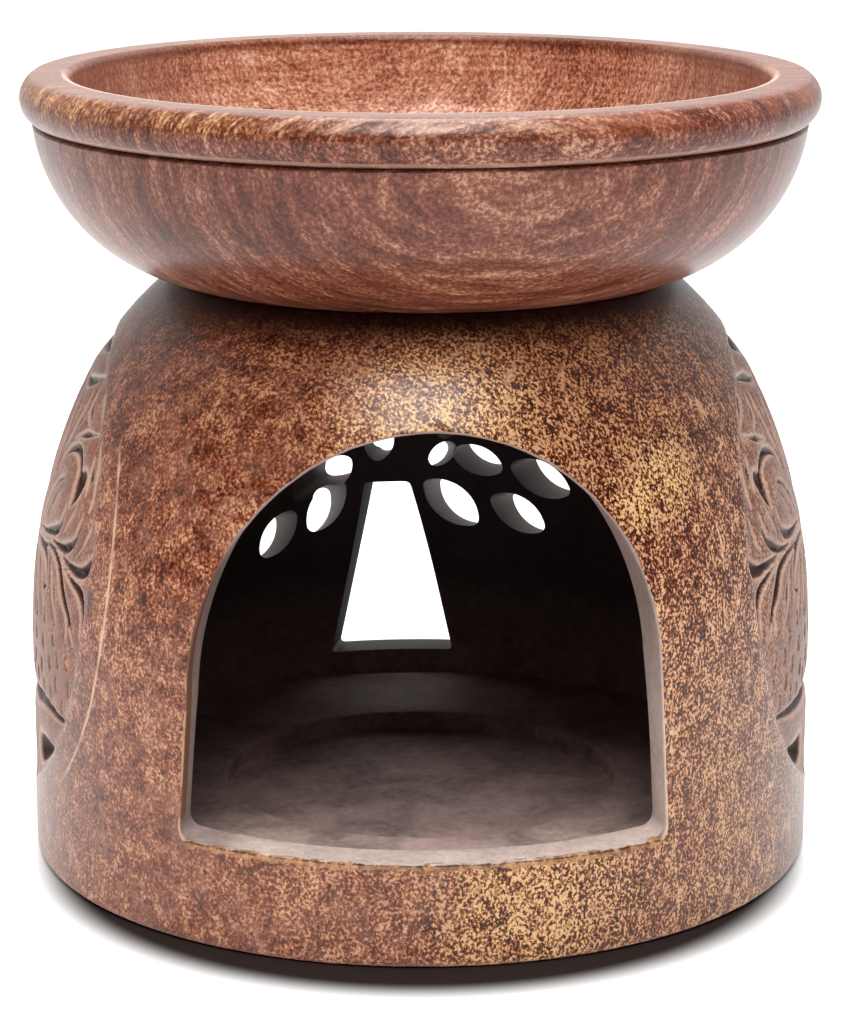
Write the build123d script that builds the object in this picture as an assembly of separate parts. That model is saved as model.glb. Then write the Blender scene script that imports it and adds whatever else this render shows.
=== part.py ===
from build123d import *
from math import asin, cos, degrees, radians, sin, sqrt
import os

# An essential oil burner turned and carved from soft stone, in millimetres.
# The origin is the centre of the underside, +Z is up and the doorway faces -Y.

# Outside of the chamber: an upright wall, a dome of two tangent arcs and a flat top
body_radius = 50.7
wall_height = 29.0
flank_radius = 73.0
shoulder_radius = 42.0
shoulder_angle = 25.0
chamber_height = 75.0
base_edge = 1.2
top_edge = 0.8

# Inside of the chamber
wall = 5.3
floor_ledge_height = 7.6
recess_radius = 25.6
recess_depth = 2.4
hollow_dome_start = 20.0
top_ring_width = 5.6
top_ring_thickness = 7.0

# Doorway: jambs that lean in a little towards a raised arch, which is fuller on its right side
door_sill_height = 13.0
door_left = 27.6
door_right = 28.4
door_left_spring = 30.0
door_right_spring = 34.7
door_crown_x = 1.6
door_crown_height = 62.9
door_corner = 1.5
jamb_lean = 1.3
left_splay = 0.14
right_splay = 0.22

# Tree pierced through the back wall, placed as seen from the front
tree_x = -3.1
trunk_foot_height = 11.0
trunk_top_height = 36.7
trunk_foot_width = 17.4
trunk_top_width = 7.4
trunk_corner = 0.8
trunk_turn = 12.0
leaf_slenderness = 0.58
leaf_tip = 1.2

# Lower leaves, cut by eye: x, height, length, tilt, and the turn and slope of the cut
hand_cut_leaves = [
    (-23.6, 27.9, 7.9, 50, -32, -17),
    (-15.9, 30.8, 8.2, 53, -21, -21),
    (6.9, 32.4, 9.5, -40, 21, -9),
    (17.4, 31.4, 8.9, -28, 31, -8),
    (-9.5, 39.7, 8.6, 40, 28, 11),
    (-4.5, 43.1, 7.1, 80, 10, -1),
    (2.0, 39.4, 5.1, 41, -8, -12),
    (10.6, 40.5, 8.0, -22, 19, 2),
    (21.0, 37.9, 9.6, -22, 32, -1),
]

# Upper rows of the crown: leaves in each row, then its height, spread and slope of its cuts
crown_counts = [4, 4, 3]
crown_rows = [
    (48.6, 56.0, 12),
    (55.5, 38.0, 20),
    (61.8, 25.0, 30),
]
crown_leaf_length = 8.0
crown_fan = 1.5

# Relief on both sides: a flower above a ground line, gouged into a round field.
# One half of it: offset along the wall from the middle of the side, height, length, width and tilt
gouge_depth = 1.0
gouge_tip = 0.3
gouge_outward = 3.0
side_gouges = [
    (12.8, 44.1, 10.4, 2.0, 6),
    (20.0, 43.7, 6.4, 2.0, 9),
    (26.0, 42.2, 7.4, 2.2, 0),
    (30.2, 45.8, 5.6, 1.8, 96),
    (10.6, 47.6, 9.6, 1.8, 43),
    (15.8, 54.7, 8.0, 1.8, 5),
    (20.8, 50.4, 5.0, 2.2, 75),
    (11.4, 58.4, 6.2, 1.8, 76),
    (2.9, 48.6, 8.0, 1.8, 58),
    (3.2, 57.0, 8.4, 1.8, 120),
    (8.0, 62.6, 9.6, 2.0, 8),
    (5.0, 66.6, 8.8, 2.8, 1),
    (25.2, 53.4, 8.2, 1.8, -68),
    (9.0, 37.8, 8.0, 1.8, -56),
    (15.0, 37.2, 7.0, 1.8, -60),
    (24.8, 37.0, 10.0, 2.0, -52),
    (29.9, 36.6, 6.0, 1.8, -86),
    (18.2, 16.4, 9.2, 3.8, 16),
    (8.2, 12.2, 6.6, 2.8, 70),
]
ground_line_height = 22.2
ground_line_depth = 1.1
ground_line_half_width = 1.0
ground_line_sweep = 57.0

# Bowl: a flat foot that cuts off the sweep of the wall, a groove below the level of the sweep's centre
# and a swelling rim above that level
bowl_seat_width = 4.65
bowl_wall = 5.0
bowl_sweep_radius = 22.1
bowl_foot_sink = 0.4
groove_drop = 2.2
groove_depth = 0.9
groove_half_width = 0.5
rim_swell = 1.35
rim_swell_rise = 1.1
rim_rise = 3.7
rim_round = 1.65
rim_width = 4.7
rim_inner_round = 0.8
spigot_clearance = 1.0
spigot_depth = 2.5

# How far the cutters reach past the surfaces that they cut
cutter_outward = 10.0
cutter_inward = 16.0


# Centres of the two arcs of the dome, as radius and height
flank_centre = (body_radius - flank_radius, wall_height)
shoulder_centre = (
    flank_centre[0] + (flank_radius - shoulder_radius) * cos(radians(shoulder_angle)),
    flank_centre[1] + (flank_radius - shoulder_radius) * sin(radians(shoulder_angle)),
)
shoulder_height = flank_centre[1] + flank_radius * sin(radians(shoulder_angle))


def dome_radius(height):
    """Radius of the outside of the chamber at a height."""
    if height <= wall_height:
        return body_radius
    if height <= shoulder_height:
        return flank_centre[0] + sqrt(flank_radius ** 2 - (height - flank_centre[1]) ** 2)
    return shoulder_centre[0] + sqrt(shoulder_radius ** 2 - (height - shoulder_centre[1]) ** 2)


# Sizes that follow from the ones above
cavity_radius = body_radius - wall
mouth_radius = dome_radius(chamber_height) - top_ring_width
hollow_top_height = chamber_height - top_ring_thickness
recess_floor_height = floor_ledge_height - recess_depth
door_plane = sqrt(body_radius ** 2 - door_right ** 2)
bowl_sweep_height = bowl_sweep_radius - bowl_foot_sink
groove_height = bowl_sweep_height - groove_drop
rim_swell_height = bowl_sweep_height + rim_swell_rise
rim_height = bowl_sweep_height + rim_rise


def eased(profile, corner, radius):
    """Half section with one corner rounded, picked as the vertex nearest to a point."""
    return fillet(profile.vertices().sort_by_distance(corner)[0], radius)


def chamber_section():
    """Half section of the chamber: outside, mouth, hollow, floor ledge and tea light recess."""
    top_angle = degrees(asin((chamber_height - shoulder_centre[1]) / shoulder_radius))
    flank = CenterArc(flank_centre, flank_radius, 0, shoulder_angle)
    shoulder = CenterArc(shoulder_centre, shoulder_radius, shoulder_angle, top_angle - shoulder_angle)
    overhang = cavity_radius - mouth_radius
    hollow_rise = hollow_top_height - hollow_dome_start
    hollow_sweep = (overhang ** 2 + hollow_rise ** 2) / (2 * overhang)
    hollow_angle = degrees(asin(hollow_rise / hollow_sweep))
    hollow = CenterArc((cavity_radius - hollow_sweep, hollow_dome_start), hollow_sweep, 0, hollow_angle)
    mouth = Polyline(shoulder @ 1, (mouth_radius, chamber_height), hollow @ 1)
    inside = Polyline(
        hollow @ 0,
        (cavity_radius, floor_ledge_height),
        (recess_radius, floor_ledge_height),
        (recess_radius, recess_floor_height),
        (0, recess_floor_height),
        (0, 0),
        (body_radius, 0),
        flank @ 0,
    )
    section = make_face(Curve() + [flank, shoulder, mouth, hollow, inside])
    section = eased(section, (body_radius, 0), base_edge)
    return eased(section, shoulder @ 1, top_edge)


def door_outline(distance):
    """Outline of the doorway at a distance from the axis: the jambs close in towards the inside."""
    left = door_left + left_splay * (distance - door_plane)
    right = door_right + right_splay * (distance - door_plane)
    jambs = Polyline(
        (right, door_right_spring),
        (right + jamb_lean, door_sill_height),
        (-left - jamb_lean, door_sill_height),
        (-left, door_left_spring),
    )
    right_centre = (door_crown_x, door_right_spring)
    left_centre = (door_crown_x, door_left_spring)
    right_rise = door_crown_height - door_right_spring
    left_rise = door_crown_height - door_left_spring
    right_arch = EllipticalCenterArc(right_centre, right - door_crown_x, right_rise, 0, arc_size=90)
    left_arch = EllipticalCenterArc(left_centre, left + door_crown_x, left_rise, 90, arc_size=90)
    outline = make_face(Curve() + [jambs, right_arch, left_arch])
    outline = fillet(outline.vertices().group_by(Axis.Y)[0], door_corner)
    return Plane.XZ.offset(distance) * outline


def doorway():
    """Splayed cut through the front wall."""
    outside = door_outline(door_plane + cutter_outward)
    inside = door_outline(door_plane - cutter_inward)
    return loft([outside, inside], ruled=True)


def cut_through_back(outline, x, height, turn, slope):
    """Straight cut of an outline through the back wall, turned and sloped from the line of sight."""
    across = Vector(cos(radians(turn)), -sin(radians(turn)), 0)
    level = Vector(-sin(radians(turn)), -cos(radians(turn)), 0)
    inward = level * cos(radians(slope)) - Vector(0, 0, sin(radians(slope)))
    start = Vector(x, sqrt(dome_radius(height) ** 2 - x ** 2), height) - inward * cutter_outward
    return extrude(Plane(start, across, inward) * outline, cutter_outward + cutter_inward)


def trunk():
    """Tapered trunk of the tree."""
    half_foot = trunk_foot_width / 2
    half_top = trunk_top_width / 2
    height = trunk_top_height - trunk_foot_height
    corners = [(-half_foot, 0), (half_foot, 0), (half_top, height), (-half_top, height)]
    outline = fillet(make_face(Polyline(*corners, close=True)).vertices(), trunk_corner)
    return cut_through_back(outline, tree_x, trunk_foot_height, trunk_turn, 0)


def leaf_outline(length, width, tip_radius, tilt):
    """Two arcs that meet in blunt tips, tilted from level."""
    root = (-length / 2, 0)
    tip = (length / 2, 0)
    upper = ThreePointArc(root, (0, width / 2), tip)
    lower = ThreePointArc(tip, (0, -width / 2), root)
    return Rot(0, 0, tilt) * fillet(make_face(Curve() + [upper, lower]).vertices(), tip_radius)


def leaf(x, height, length, tilt, turn, slope):
    """One leaf of the crown."""
    outline = leaf_outline(length, leaf_slenderness * length, leaf_tip, tilt)
    return cut_through_back(outline, x, height, turn, slope)


def crown():
    """All leaves of the tree: the lower ones one by one, then the rows that fan out above them."""
    leaves = [leaf(*place) for place in hand_cut_leaves]
    for count, (height, spread, slope) in zip(crown_counts, crown_rows):
        tree_turn = degrees(asin(tree_x / dome_radius(height)))
        for index in range(count):
            swing = spread * (index / (count - 1) - 0.5)
            turn = tree_turn + swing
            x = dome_radius(height) * sin(radians(turn))
            leaves.append(leaf(x, height, crown_leaf_length, 90 - crown_fan * swing, turn, slope))
    return leaves


def dome_lean(height):
    """Angle above level of the outward direction of the chamber's outside at a height."""
    if height <= wall_height:
        return 0.0
    if height <= shoulder_height:
        return asin((height - flank_centre[1]) / flank_radius)
    return asin((height - shoulder_centre[1]) / shoulder_radius)


def gouge(offset, height, length, width, tilt):
    """One leaf-shaped gouge in the front half of the right side, square to the wall there."""
    turn = offset / dome_radius(height)
    lean = dome_lean(height)
    out = Vector(cos(turn) * cos(lean), -sin(turn) * cos(lean), sin(lean))
    across = Vector(-sin(turn), -cos(turn), 0)
    spot = Vector(dome_radius(height) * cos(turn), -dome_radius(height) * sin(turn), height)
    outline = leaf_outline(length, width, gouge_tip, tilt)
    plane = Plane(spot + out * gouge_outward, across, -out)
    return extrude(plane * outline, gouge_outward + gouge_depth)


def ground_line():
    """Ground line under the flower: a notch turned part of the way round."""
    inner = (body_radius - ground_line_depth, ground_line_height)
    reach = ground_line_half_width * (1 + gouge_outward / ground_line_depth)
    lower = (body_radius + gouge_outward, ground_line_height - reach)
    upper = (body_radius + gouge_outward, ground_line_height + reach)
    notch = Plane.XZ * make_face(Polyline(inner, lower, upper, close=True))
    return Rot(0, 0, -ground_line_sweep / 2) * revolve(notch, Axis.Z, ground_line_sweep)


def side_relief():
    """Relief of both sides: each half of a flower mirrored to the back and to the left."""
    front = [gouge(*place) for place in side_gouges]
    right = front + [mirror(cut, Plane.XZ) for cut in front] + [ground_line()]
    return right + [mirror(cut, Plane.YZ) for cut in right]


def stone_chamber():
    """Domed chamber with its hollow, its doorway, the pierced tree and the relief on its sides."""
    body = revolve(Plane.XZ * chamber_section(), Axis.Z)
    return body - [doorway(), trunk(), *crown(), *side_relief()]


def oil_bowl():
    """Turned bowl that stands on the top ring, with a spigot that keeps it over the mouth."""
    foot_radius = mouth_radius + bowl_seat_width
    sweep_inset = foot_radius - sqrt(bowl_sweep_radius ** 2 - bowl_sweep_height ** 2)
    sweep_centre = (sweep_inset, bowl_sweep_height)
    spigot_radius = mouth_radius - spigot_clearance
    wall_radius = sweep_inset + bowl_sweep_radius
    groove_foot = groove_height - groove_half_width
    foot_angle = -degrees(asin(bowl_sweep_height / bowl_sweep_radius))
    groove_angle = -degrees(asin((bowl_sweep_height - groove_foot) / bowl_sweep_radius))

    outer_wall = CenterArc(sweep_centre, bowl_sweep_radius, foot_angle, groove_angle - foot_angle)
    groove_edge = outer_wall @ 1
    rim_foot = (groove_edge.X, groove_height + groove_half_width)
    rim_top = (wall_radius + rim_swell - rim_round, rim_height)
    groove = Polyline(groove_edge, (groove_edge.X - groove_depth, groove_height), rim_foot)
    rim = ThreePointArc(rim_foot, (wall_radius + rim_swell, rim_swell_height), rim_top)

    inner_wall = CenterArc(sweep_centre, bowl_sweep_radius - bowl_wall, -90, 90)
    rim_inner = rim_top[0] - rim_width + rim_inner_round
    lip = Polyline(
        rim_top,
        (rim_inner, rim_height),
        (rim_inner - rim_inner_round, rim_height - rim_inner_round),
        inner_wall @ 1,
    )
    floor = Polyline(
        inner_wall @ 0,
        (0, bowl_sweep_height - bowl_sweep_radius + bowl_wall),
        (0, -spigot_depth),
        (spigot_radius, -spigot_depth),
        (spigot_radius, 0),
        outer_wall @ 0,
    )
    section = make_face(Curve() + [outer_wall, groove, rim, lip, inner_wall, floor])
    return Pos(0, 0, chamber_height) * revolve(Plane.XZ * section, Axis.Z)


os.makedirs("parts", exist_ok=True)
export_step(stone_chamber(), "parts/stone_chamber.step")
export_step(oil_bowl(), "parts/oil_bowl.step")
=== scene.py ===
from math import asin, atan2, cos, degrees, pi, radians, sin, sqrt

import bmesh
import bpy
import numpy as np
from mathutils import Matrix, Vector


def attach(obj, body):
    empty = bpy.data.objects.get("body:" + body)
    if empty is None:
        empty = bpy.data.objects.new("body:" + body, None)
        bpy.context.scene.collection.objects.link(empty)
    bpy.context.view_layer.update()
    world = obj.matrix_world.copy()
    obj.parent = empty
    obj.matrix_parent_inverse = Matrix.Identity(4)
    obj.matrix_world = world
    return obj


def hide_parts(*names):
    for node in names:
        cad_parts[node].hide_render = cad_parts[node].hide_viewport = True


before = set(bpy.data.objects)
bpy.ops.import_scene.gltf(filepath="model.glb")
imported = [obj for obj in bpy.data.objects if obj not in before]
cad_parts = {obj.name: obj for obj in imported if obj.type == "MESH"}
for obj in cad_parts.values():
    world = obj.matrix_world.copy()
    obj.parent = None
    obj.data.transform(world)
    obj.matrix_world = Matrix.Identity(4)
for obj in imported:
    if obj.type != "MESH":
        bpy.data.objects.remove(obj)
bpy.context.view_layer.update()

# Sizes are in millimetres and become metres where a mesh or a shader is made
MM = 0.001

# Outside and inside of the chamber
BODY_RADIUS = 50.7
WALL_HEIGHT = 29.0
FLANK_RADIUS = 73.0
SHOULDER_RADIUS = 42.0
SHOULDER_ANGLE = 25.0
CHAMBER_HEIGHT = 75.0
BASE_EDGE = 1.2
TOP_EDGE = 0.8
CAVITY_RADIUS = 45.4
LEDGE_HEIGHT = 7.6
RECESS_RADIUS = 25.6
RECESS_FLOOR = 5.2
HOLLOW_START = 20.0
HOLLOW_TOP = 68.0
TOP_RING_WIDTH = 5.6
MOUTH_EDGE = 0.3
LEDGE_CORNER = 0.8
RECESS_EDGE = 0.5

# Facets round each turned piece, and the angle from which an edge stays sharp
TURNING_STEPS = 192
CREASE_ANGLE = 38

FLANK_CENTRE = (BODY_RADIUS - FLANK_RADIUS, WALL_HEIGHT)
SHOULDER_CENTRE = (
    FLANK_CENTRE[0] + (FLANK_RADIUS - SHOULDER_RADIUS) * cos(radians(SHOULDER_ANGLE)),
    FLANK_CENTRE[1] + (FLANK_RADIUS - SHOULDER_RADIUS) * sin(radians(SHOULDER_ANGLE)),
)
SHOULDER_HEIGHT = FLANK_CENTRE[1] + FLANK_RADIUS * sin(radians(SHOULDER_ANGLE))


def dome_radius(height):
    """Radius of the outside of the chamber at heights."""
    height = np.asarray(height, float)
    flank = np.sqrt(FLANK_RADIUS ** 2 - np.clip(height - FLANK_CENTRE[1], 0, FLANK_RADIUS) ** 2)
    shoulder = np.sqrt(np.clip(SHOULDER_RADIUS ** 2 - (height - SHOULDER_CENTRE[1]) ** 2, 0, None))
    upper = np.where(height > SHOULDER_HEIGHT, SHOULDER_CENTRE[0] + shoulder, FLANK_CENTRE[0] + flank)
    return np.where(height > WALL_HEIGHT, upper, BODY_RADIUS)


MOUTH_RADIUS = float(dome_radius(CHAMBER_HEIGHT)) - TOP_RING_WIDTH
OVERHANG = CAVITY_RADIUS - MOUTH_RADIUS
HOLLOW_RISE = HOLLOW_TOP - HOLLOW_START
HOLLOW_SWEEP = (OVERHANG ** 2 + HOLLOW_RISE ** 2) / (2 * OVERHANG)
HOLLOW_CENTRE = (CAVITY_RADIUS - HOLLOW_SWEEP, HOLLOW_START)


def dome_normal(points):
    """Outward direction of the chamber's outside at points on it."""
    height = points[:, 2]
    radius = np.hypot(points[:, 0], points[:, 1])
    centre_r = np.where(height > SHOULDER_HEIGHT, SHOULDER_CENTRE[0], FLANK_CENTRE[0])
    centre_z = np.where(height > SHOULDER_HEIGHT, SHOULDER_CENTRE[1], np.minimum(height, FLANK_CENTRE[1]))
    lean = np.arctan2(height - centre_z, radius - centre_r)
    level = np.cos(lean) / radius
    return np.stack([points[:, 0] * level, points[:, 1] * level, np.sin(lean)], axis=1)


# Shader maths


class Wire:
    """A socket of a material. An operator on it adds a Math node, and node() adds any other node."""

    def __init__(self, tree, socket=None):
        self.tree = tree
        self.socket = socket

    def node(self, kind, settings, inputs, output=0):
        made = self.tree.nodes.new(kind)
        for name, value in settings.items():
            if name == "stops":
                stops = made.color_ramp.elements
                while len(stops) < len(value):
                    stops.new(1.0)
                for stop, (place, colour) in zip(stops, value):
                    stop.position = place
                    stop.color = (*colour, 1.0)
            else:
                setattr(made, name, value)
        for name, value in inputs.items():
            found = [socket for socket in made.inputs if name in (socket.identifier, socket.name)]
            if isinstance(value, Wire):
                self.tree.links.new(value.socket, found[0])
            else:
                found[0].default_value = value
        return Wire(self.tree, made.outputs[output])

    def math(self, operation, *values):
        made = self.tree.nodes.new("ShaderNodeMath")
        made.operation = operation
        for socket, value in zip(made.inputs, values):
            if isinstance(value, Wire):
                self.tree.links.new(value.socket, socket)
            else:
                socket.default_value = value
        return Wire(self.tree, made.outputs[0])

    def __add__(self, other):
        return self.math("ADD", self, other)

    def __radd__(self, other):
        return self.math("ADD", other, self)

    def __sub__(self, other):
        return self.math("SUBTRACT", self, other)

    def __rsub__(self, other):
        return self.math("SUBTRACT", other, self)

    def __mul__(self, other):
        return self.math("MULTIPLY", self, other)

    def __rmul__(self, other):
        return self.math("MULTIPLY", other, self)

    def __truediv__(self, other):
        return self.math("DIVIDE", self, other)

    def __abs__(self):
        return self.math("ABSOLUTE", self)

    def step(self, low, high):
        """0 at low and 1 at high, eased between; low may be the larger."""
        return self.node(
            "ShaderNodeMapRange",
            {"interpolation_type": "SMOOTHSTEP"},
            {"Value": self, "From Min": low, "From Max": high},
        )

    def noise(self, scale, detail, roughness, distortion=0.0):
        return self.node(
            "ShaderNodeTexNoise",
            {},
            {
                "Vector": self,
                "Scale": scale,
                "Detail": detail,
                "Roughness": roughness,
                "Distortion": distortion,
            },
        )

    def mapped(self, scale, turn=(0, 0, 0)):
        return self.node("ShaderNodeMapping", {}, {"Vector": self, "Rotation": turn, "Scale": scale})

    def axis(self, name):
        return self.node("ShaderNodeSeparateXYZ", {}, {"Vector": self}, "XYZ".index(name))

    def away(self, spot):
        """Distance from a spot."""
        inputs = {"Vector": self, "Vector_001": spot}
        return self.node("ShaderNodeVectorMath", {"operation": "DISTANCE"}, inputs, 1)

    def mirrored(self):
        """Both sides folded onto one."""
        return self.node("ShaderNodeVectorMath", {"operation": "ABSOLUTE"}, {"Vector": self})

    def mix(self, kind, other, share):
        other = (*other, 1.0) if isinstance(other, tuple) else other
        return self.node(
            "ShaderNodeMix",
            {"data_type": "RGBA", "blend_type": kind},
            {"Factor_Float": share, "A_Color": self, "B_Color": other},
            2,
        )

    def blend(self, other, share):
        """This colour with a share of another one."""
        return self.mix("MIX", other, share)

    def tint(self, other, share):
        """This colour multiplied by another one, to a share."""
        return self.mix("MULTIPLY", other, share)

    def ramp(self, stops):
        return self.node("ShaderNodeValToRGB", {"stops": stops}, {"Fac": self})

    def bumped(self, strength, distance):
        """Normal of a surface that this value raises."""
        return self.node("ShaderNodeBump", {}, {"Height": self, "Strength": strength, "Distance": distance})


def new_material(name):
    """An empty material with its output, and its Object coordinates."""
    material = bpy.data.materials.new(name)
    material.use_nodes = True
    tree = material.node_tree
    tree.nodes.clear()
    output = tree.nodes.new("ShaderNodeOutputMaterial")
    start = Wire(tree)
    place = start.node("ShaderNodeTexCoord", {}, {}, 3)
    return material, output, place


def finish_stone(output, colour, roughness, normal, specular):
    shader = colour.node(
        "ShaderNodeBsdfPrincipled",
        {},
        {"Base Color": colour, "Roughness": roughness, "Normal": normal, "Specular IOR Level": specular},
    )
    colour.tree.links.new(shader.socket, output.inputs["Surface"])


# Turned shapes


class Turning:
    """Half section drawn from point to point, with the radius along X, and then turned about Z."""

    def __init__(self, radius, height):
        self.bm = bmesh.new()
        self.tip = self.bm.verts.new((radius * MM, 0, height * MM))

    def line(self, radius, height, steps=1):
        start = self.tip.co.copy()
        end = Vector((radius * MM, 0, height * MM))
        for step in range(steps):
            self.tip = bmesh.ops.extrude_vert_indiv(self.bm, verts=[self.tip])["verts"][0]
            self.tip.co = start.lerp(end, (step + 1) / steps)

    def arc(self, centre, angle, steps):
        spun = bmesh.ops.spin(
            self.bm,
            geom=[self.tip],
            cent=(centre[0] * MM, 0, centre[1] * MM),
            axis=(0, -1, 0),
            angle=radians(angle),
            steps=steps,
        )
        self.tip = [item for item in spun["geom_last"] if isinstance(item, bmesh.types.BMVert)][0]

    def turn(self, steps):
        section = self.bm.verts[:] + self.bm.edges[:]
        bmesh.ops.spin(
            self.bm, geom=section, cent=(0, 0, 0), axis=(0, 0, 1), angle=2 * pi, steps=steps, use_merge=True
        )
        bmesh.ops.remove_doubles(self.bm, verts=self.bm.verts[:], dist=1e-6)
        bmesh.ops.recalc_face_normals(self.bm, faces=self.bm.faces[:])
        return self.bm


def new_piece(name, bm, materials):
    mesh = bpy.data.meshes.new(name)
    bm.to_mesh(mesh)
    bm.free()
    for material in materials:
        mesh.materials.append(material)
    piece = bpy.data.objects.new(name, mesh)
    bpy.context.scene.collection.objects.link(piece)
    return piece


# Places of the chamber's materials in its list
OUTSIDE, HOLLOW, SAWN = range(3)


def turned_chamber():
    """The chamber before anything is cut through its wall."""
    top_z = CHAMBER_HEIGHT - TOP_EDGE
    top_r = SHOULDER_CENTRE[0] + sqrt((SHOULDER_RADIUS - TOP_EDGE) ** 2 - (top_z - SHOULDER_CENTRE[1]) ** 2)
    top_angle = degrees(atan2(top_z - SHOULDER_CENTRE[1], top_r - SHOULDER_CENTRE[0]))
    hollow_angle = degrees(asin(HOLLOW_RISE / HOLLOW_SWEEP))
    section = Turning(0, 0)
    section.line(BODY_RADIUS - BASE_EDGE, 0, 6)
    section.arc((BODY_RADIUS - BASE_EDGE, BASE_EDGE), 90, 4)
    section.line(BODY_RADIUS, WALL_HEIGHT, 15)
    section.arc(FLANK_CENTRE, SHOULDER_ANGLE, 17)
    section.arc(SHOULDER_CENTRE, top_angle - SHOULDER_ANGLE, 10)
    section.arc((top_r, top_z), 90 - top_angle, 3)
    section.line(MOUTH_RADIUS + MOUTH_EDGE, CHAMBER_HEIGHT, 3)
    section.line(MOUTH_RADIUS, CHAMBER_HEIGHT - MOUTH_EDGE)
    section.line(MOUTH_RADIUS, HOLLOW_TOP, 3)
    section.arc(HOLLOW_CENTRE, -hollow_angle, 20)
    section.line(CAVITY_RADIUS, LEDGE_HEIGHT + LEDGE_CORNER, 5)
    section.arc((CAVITY_RADIUS - LEDGE_CORNER, LEDGE_HEIGHT + LEDGE_CORNER), -90, 3)
    section.line(RECESS_RADIUS + RECESS_EDGE, LEDGE_HEIGHT, 6)
    section.arc((RECESS_RADIUS + RECESS_EDGE, LEDGE_HEIGHT - RECESS_EDGE), 90, 3)
    section.line(RECESS_RADIUS, RECESS_FLOOR + RECESS_EDGE)
    section.arc((RECESS_RADIUS - RECESS_EDGE, RECESS_FLOOR + RECESS_EDGE), -90, 3)
    section.line(0, RECESS_FLOOR, 8)
    bm = section.turn(TURNING_STEPS)
    for face in bm.faces:
        centre = face.calc_center_median() / MM
        radius = sqrt(centre.x ** 2 + centre.y ** 2)
        deep = radius < float(dome_radius(centre.z)) - 2
        inside = deep and BASE_EDGE < centre.z < CHAMBER_HEIGHT - 2 * MOUTH_EDGE
        face.material_index = HOLLOW if inside else OUTSIDE
    return bm


# Openings through the wall


SILL_HEIGHT = 13.0
DOOR_CORNER = 1.5
DOOR_CROWN = (1.6, 62.9)
JAMB_LEAN = 1.22

# Half width, height of the springing and splay of each side of the doorway
DOOR_RIGHT = (28.4, 34.7, 0.22)
DOOR_LEFT = (27.6, 30.0, 0.14)
DOOR_PLANE = sqrt(BODY_RADIUS ** 2 - DOOR_RIGHT[0] ** 2)

# How far the cutters reach out of the wall and into the hollow
REACH_OUT = 10
DOOR_REACH_IN = 16
BACK_REACH_IN = 16


def door_side(width, spring, crown):
    """Points up one side of the doorway: half the sill, the corner, the jamb and a quarter of the arch."""
    side = width + JAMB_LEAN
    points = []
    for share in np.linspace(0, 1, 61)[:-1]:
        points.append((share * (side - DOOR_CORNER), SILL_HEIGHT))
    for angle in np.linspace(-pi / 2, 0, 10)[:-1]:
        rise = DOOR_CORNER * (1 + sin(angle))
        points.append((side - DOOR_CORNER + DOOR_CORNER * cos(angle), SILL_HEIGHT + rise))
    jamb_foot = SILL_HEIGHT + DOOR_CORNER
    for share in np.linspace(0, 1, 24)[:-1]:
        points.append((side + (width - side) * share, jamb_foot + (spring - jamb_foot) * share))
    for angle in np.linspace(0, pi / 2, 70):
        rise = (DOOR_CROWN[1] - spring) * sin(angle)
        points.append((crown + (width - crown) * cos(angle), spring + rise))
    return points


def door_outline(distance):
    """Points round the doorway at a distance from the axis, seen from the front."""
    sides = []
    for (width, spring, splay), crown in ((DOOR_RIGHT, DOOR_CROWN[0]), (DOOR_LEFT, -DOOR_CROWN[0])):
        sides.append(door_side(width + splay * (distance - DOOR_PLANE), spring, crown))
    right, left = sides
    return np.array([(x, -distance, z) for x, z in right] + [(-x, -distance, z) for x, z in left[-2:0:-1]])


# Tree in the back wall: leaves as x, height, length, tilt, turn and slope
CUT_LEAVES = [
    (-23.6, 27.9, 7.9, 50, -32, -17),
    (-15.9, 30.8, 8.2, 53, -21, -21),
    (6.9, 32.4, 9.5, -40, 21, -9),
    (17.4, 31.4, 8.9, -28, 31, -8),
    (-9.5, 39.7, 8.6, 40, 28, 11),
    (-4.5, 43.1, 7.1, 80, 10, -1),
    (2.0, 39.4, 5.1, 41, -8, -12),
    (10.6, 40.5, 8.0, -22, 19, 2),
    (21.0, 37.9, 9.6, -22, 32, -1),
]
LEAF_FULLNESS = 0.58
LEAF_TIP = 1.2

# Rows of leaves above them: count, height, spread and slope
CROWN_ROWS = [(4, 48.6, 56.0, 12), (4, 55.5, 38.0, 20), (3, 61.8, 25.0, 30)]
CROWN_LEAF = 8.0

# Trunk: place, and corners as offset and rise from its foot
TREE_X = -3.1
TRUNK_FOOT = 11.0
TRUNK_TURN = 12.0
TRUNK_CORNERS = [(8.7, 0.0), (3.0, 25.7), (-3.2, 25.7), (-8.2, 0.0)]
TRUNK_ROUNDING = 0.8

# Wear of the outside edges of the tree
TREE_EASE = 0.3

# Section of a worn edge, as shares of its width inwards and sideways, and how far a cutter flares beyond it
WORN_EDGE = [(1.0, 0.0), (0.55, 0.12), (0.2, 0.42), (0.0, 1.0)]
FLARE = 0.5


def blunt_leaf(length, tilt):
    """Outline of a leaf: two arcs that meet in blunt tips."""
    half_width = LEAF_FULLNESS * length / 2
    sweep = (length ** 2 / 4 + half_width ** 2) / (2 * half_width)
    drop = sweep - half_width
    tip_x = sqrt((sweep - LEAF_TIP) ** 2 - drop ** 2)
    lean = atan2(drop, tip_x)
    points = []
    for angle in np.linspace(pi - lean, lean, 15)[:-1]:
        points.append((sweep * cos(angle), sweep * sin(angle) - drop))
    for angle in np.linspace(lean, -lean, 6)[:-1]:
        points.append((tip_x + LEAF_TIP * cos(angle), LEAF_TIP * sin(angle)))
    points = points + [(-x, -y) for x, y in points]
    turn = radians(tilt)
    return [(x * cos(turn) - y * sin(turn), x * sin(turn) + y * cos(turn)) for x, y in points]


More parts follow.
